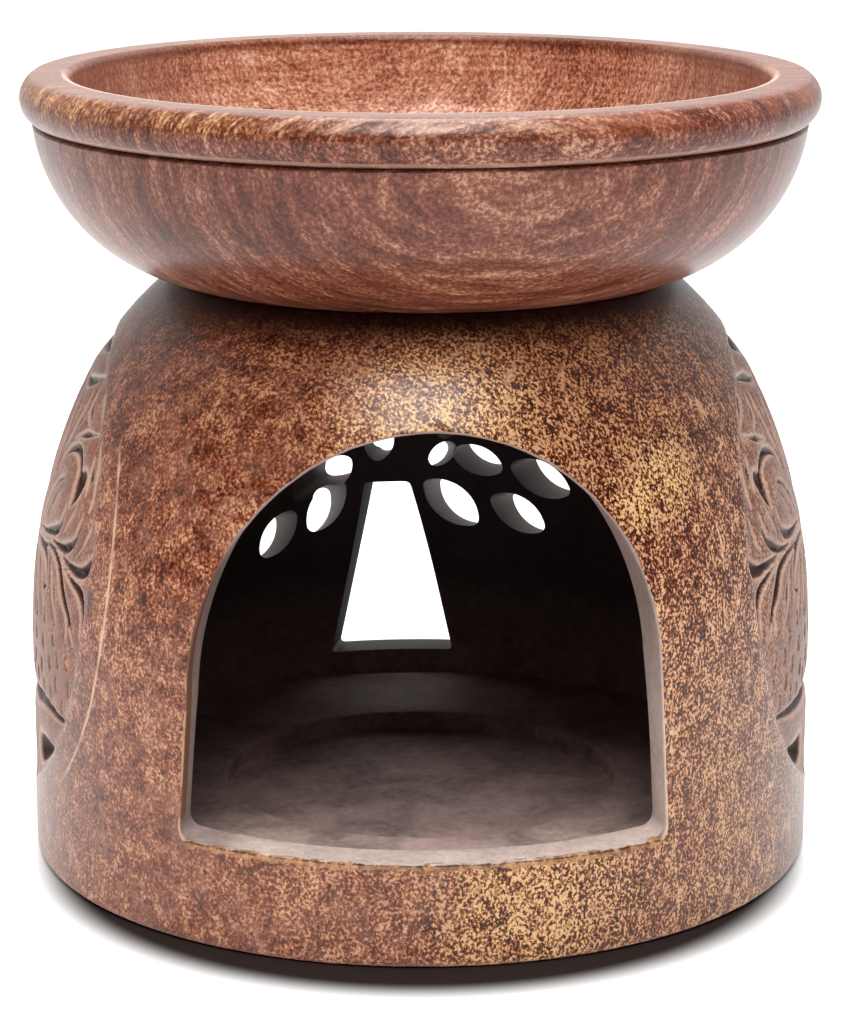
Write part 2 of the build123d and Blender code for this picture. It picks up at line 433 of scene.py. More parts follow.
def trunk_outline():
    """Outline of the tapered trunk with small rounded corners."""
    corners = [Vector(corner) for corner in TRUNK_CORNERS]
    points = []
    for index, corner in enumerate(corners):
        following = corners[(index + 1) % len(corners)]
        before = (corners[index - 1] - corner).normalized() * TRUNK_ROUNDING
        after = (following - corner).normalized() * TRUNK_ROUNDING
        start = corner + before
        end = corner + after
        for share in np.linspace(0, 1, 5):
            rest = 1 - share
            points.append(start * rest ** 2 + corner * 2 * share * rest + end * share ** 2)
        run_end = following - after
        for share in np.linspace(0, 1, 14)[1:-1]:
            points.append(end.lerp(run_end, share))
    return [tuple(point) for point in points]


def back_lines(outline, x, height, turn, slope):
    """Both ends of the straight lines of a cut through the back wall."""
    turn = radians(turn)
    slope = radians(slope)
    across = np.array([cos(turn), -sin(turn), 0])
    inward = np.array([-sin(turn) * cos(slope), -cos(turn) * cos(slope), -sin(slope)])
    up = np.cross(inward, across)
    start = np.array([x, sqrt(float(dome_radius(height)) ** 2 - x ** 2), height]) - inward * REACH_OUT
    outer = np.array([start + across * u + up * v for u, v in outline])
    return outer, outer + inward * (REACH_OUT + BACK_REACH_IN)


def crossing(outer, inner, radius_at):
    """Where each line first passes inside a turned surface."""
    shares = np.linspace(0, 1, 521)
    points = outer[:, None] + (inner - outer)[:, None] * shares[None, :, None]
    gap = np.hypot(points[..., 0], points[..., 1]) - radius_at(points[..., 2])
    first = np.argmax(gap < 0, axis=1)
    rows = np.arange(len(outer))
    before = gap[rows, first - 1]
    after = gap[rows, first]
    share = shares[first - 1] + (shares[1] - shares[0]) * before / (before - after)
    return outer + (inner - outer) * share[:, None]


def cutter(name, outer, inner, ease):
    """A solid that cuts along the lines and eases the outside edge by a width at each line."""
    edge = crossing(outer, inner, dome_radius)
    inward = (inner - outer) / np.linalg.norm(inner - outer, axis=1)[:, None]
    normal = dome_normal(edge)
    along = np.roll(edge, -1, axis=0) - np.roll(edge, 1, axis=0)
    side = np.cross(along, normal)
    side = side / np.linalg.norm(side, axis=1)[:, None]
    outwards = np.sum(side * (edge - edge.mean(axis=0)), axis=1)
    side = side * np.where(np.sum(outwards) < 0, -1.0, 1.0)
    ease = np.broadcast_to(np.asarray(ease, float), len(edge))[:, None]
    flare = edge + side * (ease + FLARE)
    rings = [inner]
    rings += [edge + (inward * deep + side * wide) * ease for deep, wide in WORN_EDGE]
    rings += [flare + normal * 0.2, flare + normal * 1.5, outer - inward * 15]
    bm = bmesh.new()
    verts = [bm.verts.new(point * MM) for point in rings[0]]
    cap = bm.faces.new(verts)
    for ring in rings[1:]:
        cap = bmesh.ops.extrude_discrete_faces(bm, faces=[cap])["faces"][0]
        for vert, point in zip(cap.verts, ring):
            vert.co = Vector(point) * MM
    bm.faces.new(reversed(verts))
    bmesh.ops.recalc_face_normals(bm, faces=bm.faces[:])
    for face in bm.faces:
        face.material_index = SAWN
    return new_piece(name, bm, [])


def all_cutters():
    """Cutters of the doorway, the trunk, the leaves that show and the rows above them."""
    outer = door_outline(DOOR_PLANE + REACH_OUT)
    inner = door_outline(DOOR_PLANE - DOOR_REACH_IN)
    cutters = [cutter("door_cutter", outer, inner, door_ease(outer))]
    trunk = back_lines(trunk_outline(), TREE_X, TRUNK_FOOT, TRUNK_TURN, 0)
    cutters.append(cutter("trunk_cutter", *trunk, TREE_EASE))
    leaves = list(CUT_LEAVES)
    for count, height, spread, slope in CROWN_ROWS:
        middle = degrees(asin(TREE_X / float(dome_radius(height))))
        for index in range(count):
            swing = spread * (index / (count - 1) - 0.5)
            x = float(dome_radius(height)) * sin(radians(middle + swing))
            leaves.append((x, height, CROWN_LEAF, 90 - 1.5 * swing, middle + swing, slope))
    for index, (x, height, length, tilt, turn, slope) in enumerate(leaves):
        lines = back_lines(blunt_leaf(length, tilt), x, height, turn, slope)
        cutters.append(cutter(f"leaf_cutter_{index}", *lines, TREE_EASE))
    return cutters


def door_ease(outer):
    """How far the doorway's edge is worn back: a little all round, more where the sill is chipped."""
    x = outer[:, 0]
    z = outer[:, 2]
    wander = np.sin(x * 0.9) * np.sin(x * 0.37 + 1.0)
    wander = wander + 0.6 * np.sin(x * 2.3 + 2.0) + 0.4 * np.sin(z * 0.8)
    chips = np.clip(np.sin(x * 1.7 + 0.6) + 0.7 * np.sin(x * 4.1) - 0.2, 0, None)
    on_sill = np.clip(SILL_HEIGHT + 1 - z, 0, 1)
    return np.clip(0.38 + 0.08 * wander + on_sill * (0.25 + 0.3 * chips), 0.2, 1.4)


# Relief on both sides: a flower on a mound in a round field

FIELD_HEIGHT = 39.3
FIELD_RADIUS = 31.2
FIELD_SINK = 0.15
FIELD_RUN_OUT = 1.8
FIELD_CUTS = 4
LINE_RADIUS = 34.7
GOUGE_WIDTH = 0.85
GOUGE_REACH = 3.5
STIPPLE_RADIUS = 0.7
STIPPLE_DEPTH = 0.8

# Middle of the field on the right side; the left one mirrors it
FIELD_MIDDLE = (float(dome_radius(FIELD_HEIGHT)), 0.0, FIELD_HEIGHT)

# Gouges of one half of the field: depth, width at the start, middle and end, points as offset and height
GOUGES = [
    (1.1, 0.5, 1.0, 0.5, [(8.2, 43.6), (13.0, 43.8), (17.0, 44.7), (18.8, 46.0), (19.2, 48.2)]),
    (1.1, 0.5, 1.0, 0.5, [(16.8, 43.3), (20.0, 43.5), (22.6, 44.2), (24.4, 45.6), (24.9, 48.2)]),
    (1.2, 0.6, 1.2, 0.5,
     [(22.0, 42.7), (25.2, 42.2), (27.8, 42.0), (29.4, 42.8), (30.3, 45.2), (30.0, 48.6)]),
    (1.0, 0.9, 0.7, 0.4, [(7.2, 43.8), (9.4, 47.0), (12.6, 50.0), (15.0, 51.0)]),
    (1.0, 0.4, 0.9, 0.6,
     [(10.4, 51.6), (11.6, 53.4), (14.2, 54.7), (17.0, 54.9), (19.6, 53.6), (20.4, 51.6)]),
    (1.3, 1.6, 1.0, 0.3, [(21.4, 52.4), (21.0, 50.4), (20.2, 48.6)]),
    (0.8, 0.3, 0.8, 0.3, [(13.2, 55.9), (17.0, 57.0), (21.4, 58.2)]),
    (1.0, 0.4, 0.9, 0.4, [(9.8, 53.6), (11.6, 56.6), (12.4, 59.0), (12.2, 61.4)]),
    (1.0, 0.5, 0.8, 0.4, [(6.6, 50.6), (7.2, 54.0), (6.4, 57.6), (4.0, 61.0)]),
    (1.1, 0.4, 1.1, 0.5, [(2.6, 62.0), (6.0, 62.2), (10.0, 62.9), (13.8, 63.6)]),
    (1.4, 2.0, 1.5, 0.4, [(0.0, 66.4), (4.0, 66.6), (8.8, 66.6)]),
    (0.9, 0.4, 0.9, 0.4, [(14.2, 61.8), (15.0, 59.6), (16.8, 58.2)]),
    (0.9, 0.9, 0.7, 0.3, [(17.4, 62.2), (19.2, 60.6), (20.4, 59.2)]),
    (0.8, 0.6, 0.9, 0.4, [(23.0, 57.4), (25.2, 54.8), (26.4, 52.0), (26.2, 49.6)]),
    (0.9, 0.3, 0.8, 0.3, [(22.6, 55.6), (23.8, 53.4), (24.0, 51.2)]),
    (1.1, 0.6, 0.9, 0.4,
     [(4.2, 41.6), (8.0, 41.8), (12.4, 41.6), (15.6, 40.2), (17.0, 38.0), (15.4, 36.6)]),
    (1.1, 0.5, 1.0, 0.4,
     [(13.0, 42.3), (18.0, 42.3), (21.6, 41.0), (24.0, 38.2), (26.6, 35.6), (28.0, 32.8)]),
    (1.0, 0.4, 0.9, 0.4, [(22.4, 41.9), (26.0, 40.6), (28.8, 39.4), (30.0, 37.0), (29.8, 34.0)]),
    (0.9, 0.3, 0.8, 0.3, [(6.0, 40.6), (9.4, 38.6), (11.2, 35.6), (11.4, 33.0)]),
    (0.9, 0.3, 0.8, 0.3, [(12.4, 40.2), (15.2, 37.0), (16.4, 33.8)]),
    (0.9, 0.3, 0.8, 0.3, [(18.2, 41.0), (20.6, 37.6), (22.4, 34.4)]),
    (0.9, 0.3, 0.8, 0.3, [(23.6, 39.8), (26.0, 36.2), (25.8, 33.2)]),
    (1.0, 0.8, 0.7, 0.3, [(0.0, 41.0), (2.0, 38.0), (4.6, 34.4), (5.4, 31.4)]),
    (1.3, 1.4, 1.4, 0.7, [(0.0, 22.2), (6.4, 22.3), (12.0, 22.1), (18.0, 22.3), (25.2, 22.2)]),
    (1.4, 2.4, 1.7, 0.2, [(14.0, 15.2), (17.0, 16.0), (22.4, 17.8)]),
    (1.4, 0.3, 1.9, 0.3, [(8.4, 14.8), (9.0, 12.2), (6.4, 9.2)]),
    (1.3, 1.9, 1.3, 0.3, [(0.0, 18.8), (0.0, 16.0), (0.0, 12.6)]),
    (1.2, 0.2, 1.2, 0.2, [(5.6, 20.4), (8.4, 18.6), (9.0, 17.0)]),
    (1.0, 0.6, 0.9, 0.3, [(0.0, 44.6), (3.6, 48.4), (5.0, 52.6), (3.6, 57.0), (0.0, 61.2)]),
    (0.7, 0.2, 0.6, 0.2, [(0.0, 46.4), (0.0, 51.4), (0.0, 57.6)]),
    (0.6, 0.2, 0.5, 0.2, [(12.4, 45.6), (14.8, 48.0), (16.4, 50.0)]),
    (0.6, 0.2, 0.5, 0.2, [(20.2, 45.2), (21.8, 47.2), (22.6, 49.6)]),
    (0.6, 0.2, 0.5, 0.2, [(26.2, 43.8), (27.6, 46.0), (27.8, 48.8)]),
    (0.5, 0.2, 0.5, 0.2, [(8.6, 56.0), (9.6, 58.2), (9.0, 60.8)]),
]

# Stippled ground of the mound, as offset and height
STIPPLES = [
    (18.1, 34.0), (22.0, 32.4), (17.4, 30.4), (23.6, 30.0), (20.4, 28.6), (26.6, 30.2),
    (16.2, 27.0), (22.8, 26.6), (27.2, 26.9), (17.6, 24.6), (20.8, 24.7), (25.0, 24.2),
    (13.2, 30.6), (12.0, 27.4), (14.0, 25.2), (9.0, 30.4), (8.2, 27.4), (10.4, 25.6),
    (5.6, 28.6), (4.6, 26.0), (1.8, 30.8), (2.0, 27.6), (7.0, 33.0), (13.4, 33.6),
]


def surface_run(height):
    """Length along the chamber's half section up to a height."""
    height = np.asarray(height, float)
    meeting = radians(SHOULDER_ANGLE)
    flank = np.arcsin(np.clip((height - FLANK_CENTRE[1]) / FLANK_RADIUS, 0, sin(meeting)))
    shoulder = np.arcsin(np.clip((height - SHOULDER_CENTRE[1]) / SHOULDER_RADIUS, sin(meeting), 1))
    return np.minimum(height, WALL_HEIGHT) + FLANK_RADIUS * flank + SHOULDER_RADIUS * (shoulder - meeting)


def smooth_path(points, count):
    """Points along a smooth curve through a few points."""
    points = np.array(points, float)
    ends = np.concatenate([[2 * points[0] - points[1]], points, [2 * points[-1] - points[-2]]])
    places = np.linspace(0, len(points) - 1, count)
    path = []
    for place in places:
        index = min(int(place), len(points) - 2)
        t = place - index
        a, b, c, d = ends[index:index + 4]
        bend = (2 * a - 5 * b + 4 * c - d) * t ** 2 + (3 * b - a - 3 * c + d) * t ** 3
        path.append(0.5 * (2 * b + (c - a) * t + bend))
    return np.array(path)


def carving_depth(offset, height):
    """Depth of the relief at points of one side, in millimetres."""
    run = surface_run(height)
    deepest = np.zeros(len(offset))
    shoulders = np.zeros(len(offset))
    for depth, start, middle, end, points in GOUGES:
        path = smooth_path(points, 10 * len(points))
        path = np.stack([path[:, 0], surface_run(path[:, 1])], axis=1)
        share = np.linspace(0, 1, len(path))
        width = GOUGE_WIDTH * np.interp(share, [0, 0.5, 1], [start, middle, end])
        low = path.min(axis=0) - GOUGE_REACH
        high = path.max(axis=0) + GOUGE_REACH
        across = (offset > low[0]) & (offset < high[0])
        near = np.where(across & (run > low[1]) & (run < high[1]))[0]
        if not len(near):
            continue
        away = np.hypot(offset[near][:, None] - path[None, :, 0], run[near][:, None] - path[None, :, 1])
        ratio = away / width[None, :]
        closest = np.argmin(ratio, axis=1)
        rows = np.arange(len(near))
        local = depth * np.clip(width[closest] / middle, 0.35, 1.0)
        cut = local * np.clip(1 - ratio[rows, closest], 0, 1) ** 0.8
        deepest[near] = np.maximum(deepest[near], cut)
        soft = 0.3 * local * np.exp(-(away[rows, closest] / (width[closest] + 0.8)) ** 2)
        shoulders[near] = np.maximum(shoulders[near], soft)
    for spot, level in STIPPLES:
        away = np.hypot((offset - spot) * 1.25, (run - float(surface_run(level))) * 0.7)
        dot = STIPPLE_DEPTH * np.clip(1 - away / STIPPLE_RADIUS, 0, 1) ** 0.7
        deepest = np.maximum(deepest, dot)
    return deepest + shoulders


def field_distance(points):
    """Distance of points from the middle of the field on their side."""
    mirrored = np.stack([np.abs(points[:, 0]), points[:, 1], points[:, 2]], axis=1)
    return np.linalg.norm(mirrored - np.array(FIELD_MIDDLE), axis=1)


def refine_fields(mesh):
    """Divides the faces of both fields, so that they can take the relief."""
    bm = bmesh.new()
    bm.from_mesh(mesh)
    faces = [face for face in bm.faces if face.material_index == OUTSIDE]
    middles = np.array([face.calc_center_median() / MM for face in faces])
    near = field_distance(middles) < FIELD_RADIUS + 0.8
    edges = list(dict.fromkeys(edge for face, chosen in zip(faces, near) if chosen for edge in face.edges))
    bmesh.ops.subdivide_edges(bm, edges=edges, cuts=FIELD_CUTS, use_grid_fill=True)
    bm.to_mesh(mesh)
    bm.free()


def carve(piece):
    """Cuts the relief into both fields and notes its depth at each point."""
    mesh = piece.data
    refine_fields(mesh)
    points = np.empty(len(mesh.vertices) * 3)
    mesh.vertices.foreach_get("co", points)
    points = points.reshape(-1, 3) / MM
    away = field_distance(points)
    radius = np.hypot(points[:, 0], points[:, 1])
    outside = radius > dome_radius(points[:, 2]) - 0.3
    chosen = np.where(outside & (away < FIELD_RADIUS + 1.2))[0]
    spots = points[chosen]
    level = spots[:, 2]
    wall = dome_radius(level)
    angle = np.arctan2(spots[:, 1], np.abs(spots[:, 0]))
    drift = 0.35 * np.sin(level * 0.31 + np.sign(spots[:, 0])) * np.sin(angle * 7 + level * 0.13)
    offset = np.abs(angle * wall + drift)
    height = level + 0.3 * np.sin(angle * wall * 0.37 + 2 * np.sign(spots[:, 0]))
    inside = np.clip((FIELD_RADIUS - away[chosen]) / FIELD_RUN_OUT, 0, 1)
    inside = inside * inside * (3 - 2 * inside)
    depth = inside * (FIELD_SINK + carving_depth(offset, height))
    stretch = wall / radius[chosen]
    flat = np.stack([spots[:, 0] * stretch, spots[:, 1] * stretch, level], axis=1)
    points[chosen] = flat - dome_normal(flat) * depth[:, None]
    mesh.vertices.foreach_set("co", (points * MM).ravel())
    carved = np.zeros(len(mesh.vertices), dtype=np.float32)
    carved[chosen] = depth
    layer = mesh.attributes.new("carved", "FLOAT", "POINT")
    layer.data.foreach_set("value", carved)
    mesh.update()


def cut_openings(piece):
    """Cuts the doorway and the tree through the wall."""
    cutters = all_cutters()
    for tool in cutters:
        cut = piece.modifiers.new(tool.name, "BOOLEAN")
        cut.operation = "DIFFERENCE"
        cut.solver = "EXACT"
        cut.object = tool
    depsgraph = bpy.context.evaluated_depsgraph_get()
    cut_mesh = bpy.data.meshes.new_from_object(piece.evaluated_get(depsgraph))
    piece.modifiers.clear()
    whole = piece.data
    piece.data = cut_mesh
    bpy.data.meshes.remove(whole)
    cut_mesh.name = piece.name
    for tool in cutters:
        mesh = tool.data
        bpy.data.objects.remove(tool)
        bpy.data.meshes.remove(mesh)


def smooth_shading(piece):
    mesh = piece.data
    mesh.polygons.foreach_set("use_smooth", [True] * len(mesh.polygons))
    mesh.set_sharp_from_angle(angle=radians(CREASE_ANGLE))


# Bowl

BOWL_FOOT = MOUTH_RADIUS + 4.65
BOWL_SWEEP = 22.1
BOWL_RISE = 21.7
BOWL_WALL = 5.0
BOWL_LEVEL = CHAMBER_HEIGHT + BOWL_RISE
BOWL_INSET = BOWL_FOOT - sqrt(BOWL_SWEEP ** 2 - BOWL_RISE ** 2)
SPIGOT_RADIUS = MOUTH_RADIUS - 1
SPIGOT_DEPTH = 2.5
SPIGOT_EDGE = 0.4

# Groove under the rim, where the sweep of the wall ends
WALL_END_DROP = 2.6
GROOVE_HEIGHT = BOWL_LEVEL - 2.2
GROOVE_DEPTH = 0.55
GROOVE_ANGLE = -degrees(asin(WALL_END_DROP / BOWL_SWEEP))
GROOVE_EDGE = BOWL_INSET + BOWL_SWEEP * cos(radians(GROOVE_ANGLE))

# Rim, measured from the level where the wall stands upright
RIM_OVERHANG = 1.35
RIM_WIDEST = 1.1
RIM_ROUNDING = 1.65
RIM_HEIGHT = 3.7
RIM_WIDTH = 4.7
LIP_EDGE = 0.8


def circle_centre(points):
    """Centre of the circle through three points."""
    points = np.array(points)
    squares = np.sum(points ** 2, axis=1)
    after = np.roll(points, -1, axis=0)
    before = np.roll(points, 1, axis=0)
    twice = 2 * np.sum(points[:, 0] * (after - before)[:, 1])
    x = np.sum(squares * (after - before)[:, 1]) / twice
    y = np.sum(squares * (before - after)[:, 0]) / twice
    return float(x), float(y)


def turned_bowl():
    """The bowl with its foot, swept wall, groove, rim and spigot."""
    wall = BOWL_INSET + BOWL_SWEEP
    start = 0.05 - asin(BOWL_RISE / BOWL_SWEEP)
    spigot_foot = CHAMBER_HEIGHT - SPIGOT_DEPTH
    section = Turning(0, spigot_foot)
    section.line(SPIGOT_RADIUS - SPIGOT_EDGE, spigot_foot, 6)
    section.line(SPIGOT_RADIUS, spigot_foot + SPIGOT_EDGE)
    section.line(SPIGOT_RADIUS, CHAMBER_HEIGHT)
    section.line(BOWL_FOOT - 0.35, CHAMBER_HEIGHT, 3)
    section.line(BOWL_FOOT + 0.15, CHAMBER_HEIGHT + 0.12)
    section.line(BOWL_INSET + BOWL_SWEEP * cos(start), BOWL_LEVEL + BOWL_SWEEP * sin(start))
    section.arc((BOWL_INSET, BOWL_LEVEL), GROOVE_ANGLE - degrees(start), 26)
    section.line(GROOVE_EDGE - 0.06, GROOVE_HEIGHT - 0.3)
    section.line(GROOVE_EDGE - GROOVE_DEPTH, GROOVE_HEIGHT + 0.08, 2)
    section.line(GROOVE_EDGE - GROOVE_DEPTH, GROOVE_HEIGHT + 0.18)
    section.line(GROOVE_EDGE - 0.05, GROOVE_HEIGHT + 0.22, 2)
    # The rim: one arc from the groove over its widest line to the top
    foot = (GROOVE_EDGE + 0.1, GROOVE_HEIGHT + 0.34)
    widest = (wall + RIM_OVERHANG, BOWL_LEVEL + RIM_WIDEST)
    top = (wall + RIM_OVERHANG - RIM_ROUNDING, BOWL_LEVEL + RIM_HEIGHT)
    centre = circle_centre([foot, widest, top])
    begin = atan2(foot[1] - centre[1], foot[0] - centre[0])
    finish = atan2(top[1] - centre[1], top[0] - centre[0])
    section.line(*foot)
    section.arc(centre, degrees(finish - begin), 14)
    lip = top[0] - RIM_WIDTH + LIP_EDGE
    section.line(lip, top[1], 5)
    section.arc((lip, top[1] - LIP_EDGE), 90, 5)
    section.line(wall - BOWL_WALL, BOWL_LEVEL, 4)
    section.arc((BOWL_INSET, BOWL_LEVEL), -90, 24)
    section.line(0, BOWL_LEVEL - BOWL_SWEEP + BOWL_WALL, 10)
    return section.turn(TURNING_STEPS)


# Materials

# Ochre patches of the chamber stone: place and radius in millimetres; the first, high on the front, also
# carries a painted highlight, since the grain is lifted with the ochre
OCHRE_AND_HIGHLIGHT_PATCHES = [
    (2, -42, 64, 15),
    (29.5, -35.5, 57, 5),
    (26, -39, 54.5, 4.5),
    (14, -49, 7, 13),
]

# Colours of the grains from dark to light: the redder and the yellower stone of the chamber,
# the inside of the bowl and its outside
RED_GRAINS = [
    (0.16, (0.04, 0.01, 0.005)),
    (0.36, (0.15, 0.033, 0.013)),
    (0.50, (0.26, 0.067, 0.027)),
    (0.64, (0.385, 0.135, 0.066)),
    (0.86, (0.66, 0.36, 0.22)),
]
OCHRE_GRAINS = [
    (0.16, (0.026, 0.007, 0.003)),
    (0.36, (0.12, 0.03, 0.01)),
    (0.50, (0.255, 0.076, 0.027)),
    (0.64, (0.44, 0.185, 0.068)),
    (0.86, (0.78, 0.5, 0.24)),
]
BASIN_GRAINS = [
    (0.16, (0.13, 0.036, 0.018)),
    (0.36, (0.33, 0.115, 0.062)),
    (0.50, (0.5, 0.215, 0.128)),
    (0.64, (0.64, 0.335, 0.215)),
    (0.86, (0.88, 0.64, 0.48)),
]
BOWL_GRAINS = [
    (0.16, (0.04, 0.01, 0.005)),
    (0.36, (0.11, 0.027, 0.014)),
    (0.50, (0.178, 0.05, 0.028)),
    (0.64, (0.27, 0.095, 0.057)),
    (0.86, (0.58, 0.31, 0.2)),
]


# Colours laid over the grains of the chamber
ROSY_STONE = (0.37, 0.175, 0.125)
FOOT_PAINTED_LIGHT = (0.36, 0.18, 0.125)
DARK_PIT = (0.4, 0.3, 0.25)
PALE_VEIN = (0.8, 0.52, 0.33)
SCRIBED_LINE = (0.78, 0.5, 0.34)
CARVED_GROUND_AND_SHADE = (0.27, 0.12, 0.078)
WORN_RIDGE = (0.6, 0.43, 0.35)
GOUGE_DIRT_AND_SHADE = (0.1, 0.06, 0.05)

# Painted shade that darkens the chamber: two bands under the bowl at the top ring, then the right and left
# sides; with the axis and the two places in metres between which they set in
CHAMBER_PAINTED_SHADE = [
    ((0.42, 0.38, 0.36), "Z", 0.0705, 0.0745),
    ((0.34, 0.24, 0.23), "Z", 0.0728, 0.0744),
    ((0.6, 0.54, 0.55), "X", 0.041, 0.049),
    ((0.84, 0.76, 0.76), "X", -0.041, -0.049),
]
# Painted shade of the shoulder under the bowl
SHOULDER_PAINTED_SHADE = (0.66, 0.56, 0.48)

# Colours of the hollow and of the sawn faces
DUSTY_FLOOR = [(0.32, (0.24, 0.165, 0.145)), (0.66, (0.76, 0.54, 0.475))]
SOOT_AND_SHADE = (0.09, 0.065, 0.075)
FAR_FLOOR_PAINTED_SHADE = (0.72, 0.7, 0.72)
SAWN_FACE = [(0.3, (0.5, 0.37, 0.32)), (0.7, (0.86, 0.71, 0.64))]
CHIPPED_OCHRE = [(0.4, (0.11, 0.038, 0.016)), (0.58, (0.52, 0.26, 0.115))]
SMOKED_ARCH = (0.46, 0.4, 0.4)
LEFT_JAMB = (0.62, 0.6, 0.6)
LEFT_JAMB_EDGE = (0.6, 0.34, 0.22)
CHIP_SHADOW = (0.22, 0.12, 0.09)
WORN_ARRIS_AND_HIGHLIGHT = (0.7, 0.44, 0.28)
LEAVES_PAINTED_SHADE = (0.2, 0.17, 0.165)
TRUNK_PAINTED_SHADE = (0.3, 0.3, 0.3)
TRUNK_SIDES_PAINTED_SHADE = (0.12, 0.1, 0.1)
CHIP_HEIGHT = SILL_HEIGHT - 0.15

# Colours laid over the grains of the bowl
RIM_BAND_PAINTED_HIGHLIGHT = (0.66, 0.42, 0.3)
RUDDY_RIM = (0.36, 0.1, 0.04)
RIM_TOP_PAINTED_SHEEN = (0.5, 0.34, 0.29)
INNER_EDGE_PAINTED_HIGHLIGHT = (0.88, 0.7, 0.6)
FAR_EDGE_PAINTED_SHADE = (0.42, 0.28, 0.22)
BASIN_ENDS_PAINTED_SHEEN = (0.3, 0.17, 0.135)
RIM_FOOT_PAINTED_HIGHLIGHT = (0.5, 0.31, 0.24)
GROOVE_DIRT_AND_SHADE = (0.3, 0.2, 0.17)
RIGHT_SIDE_PAINTED_SHADE = (0.93, 0.8, 0.77)


def stone_bump(place, grain, strength):
    """Normal of a face with the stone's own grain and a finer one."""
    fine = place.noise(2600.0, 2.0, 0.5)
    height = fine * 0.4 + grain * 0.6
    return height.bumped(strength, 0.1 * MM)


def ochre_and_highlight_share(place, wander):
    """How far a spot lies within the ochre patches, with ragged borders; the first patch also carries a
    painted highlight.
    """
    share = None
    for x, y, z, radius in OCHRE_AND_HIGHLIGHT_PATCHES:
        away = place.away((x * MM, y * MM, z * MM)) / (radius * MM)
        inside = (away + (wander - 0.5) * 5.0).step(1.3, 0.2)
        share = inside if share is None else share.math("MAXIMUM", share, inside)
    return share


def chamber_stone():
    """Soft stone with short flakes in one bedding, waxed, with the two carved fields left dull."""
    material, output, place = new_material("waxed_chamber_stone")
    bed = place.mapped((1, 1, 1), (radians(5), 0, radians(24)))
    flat = bed.mapped((1, 1.6, 0.85))
    clouds = bed.mapped((1, 1.6, 0.8)).noise(48.0, 4.0, 0.6, 0.8)
    blotches = flat.noise(400.0, 4.0, 0.62, 0.4)
    flakes = bed.mapped((1, 1.2, 0.9)).noise(2600.0, 2.0, 0.65)
    specks = flakes.step(0.28, 0.73) - 0.5
    pits = flat.noise(950.0, 2.0, 0.5, 0.3).step(0.38, 0.3)
    right = (place.axis("X") + (clouds - 0.5) * 0.06).step(-0.03, 0.03)
    ochre = ochre_and_highlight_share(place, blotches * 0.5 + clouds * 0.5)

    grain = 0.5 - right * 0.02 + specks * (0.66 + right * 0.66) + (blotches - 0.5) * (1.2 + right * 0.5)
    # Partly a painted highlight: the grain lifts with the ochre, most on the top-front patch
    grain = grain + (clouds - 0.5) * 0.5 + ochre * 0.16
    yellow = right * 0.25 + ochre * 0.85 + (blotches - 0.5) * 1.3 + (clouds - 0.5) + 0.08
    colour = grain.ramp(RED_GRAINS).blend(grain.ramp(OCHRE_GRAINS), yellow.step(0.0, 1.0))
    rosy = place.noise(180.0, 4.0, 0.65, 0.4).step(0.46, 0.62)
    colour = colour.blend(ROSY_STONE, rosy * (1 - right) * (1 - ochre) * 0.32)
    # Painted light: paler and rosier towards the foot, where the floor's bounce lights it
    low = place.axis("Z").step(0.045, 0.012)
    colour = colour.blend(FOOT_PAINTED_LIGHT, low * (1 - ochre) * 0.14)
    colour = colour.tint(DARK_PIT, pits * (1 - right * 0.4))
    seams = bed.mapped((1, 1, 0.3), (0, radians(8), 0)).noise(75.0, 2.0, 0.5, 0.6)
    veins = abs(seams - 0.5).step(0.0045, 0.001) * right * (blotches + clouds * 0.6).step(0.72, 0.86)
    colour = colour.blend(PALE_VEIN, veins * 0.7)
    # Painted shade: darker towards the top, where the bowl shades the shoulder
    towards_top_shade = place.axis("Z").step(0.045, 0.07)
    colour = colour.tint(SHOULDER_PAINTED_SHADE, towards_top_shade * (1 - ochre))
    # Painted shade under the bowl and at both sides
    for dark, axis, start, full in CHAMBER_PAINTED_SHADE:
        colour = colour.tint(dark, place.axis(axis).step(start, full))

    away = place.mirrored().away([size * MM for size in FIELD_MIDDLE])
    line = abs(away - LINE_RADIUS * MM).step(0.00028, 0.00012)
    span = place.axis("Z").step(0.059, 0.055) * place.axis("Z").step(0.013, 0.016)
    worn = 0.4 + place.noise(300.0, 2.0, 0.5).step(0.35, 0.6) * 0.6
    colour = colour.blend(SCRIBED_LINE, line * span * worn * (0.85 - right * 0.7))

    carved = place.node("ShaderNodeAttribute", {"attribute_name": "carved"}, {}, 2)
    field = carved.step(0.03, 0.16)
    # The carved ground's own duller tone, darkened further as painted shade against the sheen at the sides
    colour = colour.blend(CARVED_GROUND_AND_SHADE, field * 0.4)
    colour = colour.blend(WORN_RIDGE, carved.step(0.25, 0.38) * carved.step(0.68, 0.46) * 0.65)
    # Dirt and painted shade darken the deep of the gouges
    colour = colour.tint(GOUGE_DIRT_AND_SHADE, carved.step(0.52, 0.85) * 0.97)

    normal = stone_bump(place, flakes, 0.2)
    roughness = 0.22 + blotches * 0.16 + field * 0.14
    finish_stone(output, colour, roughness, normal, 0.33)
    return material


def hollow_stone():
    """The turned inside: pale and dusty on the floor, dark higher up with soot and painted shade, and
    painted shade towards the back of the floor.
    """
    material, output, place = new_material("hollow_stone")
    cloud = place.noise(120.0, 4.0, 0.6, 0.5)
    grain = place.noise(900.0, 3.0, 0.6)
    colour = (cloud * 0.7 + grain * 0.3).ramp(DUSTY_FLOOR)
    # Soot and painted shade: the walls darker higher up
    soot_and_shade = (place.axis("Z") + cloud * 0.012).step(0.012, 0.03)
    colour = colour.tint(SOOT_AND_SHADE, soot_and_shade)
    # Painted shade: the floor darker towards the back, away from the doorway
    colour = colour.tint(FAR_FLOOR_PAINTED_SHADE, place.axis("Y").step(-0.03, -0.012))
    normal = stone_bump(place, grain, 0.3)
    finish_stone(output, colour, cloud * 0.1 + 0.6, normal, 0.3)
    return material


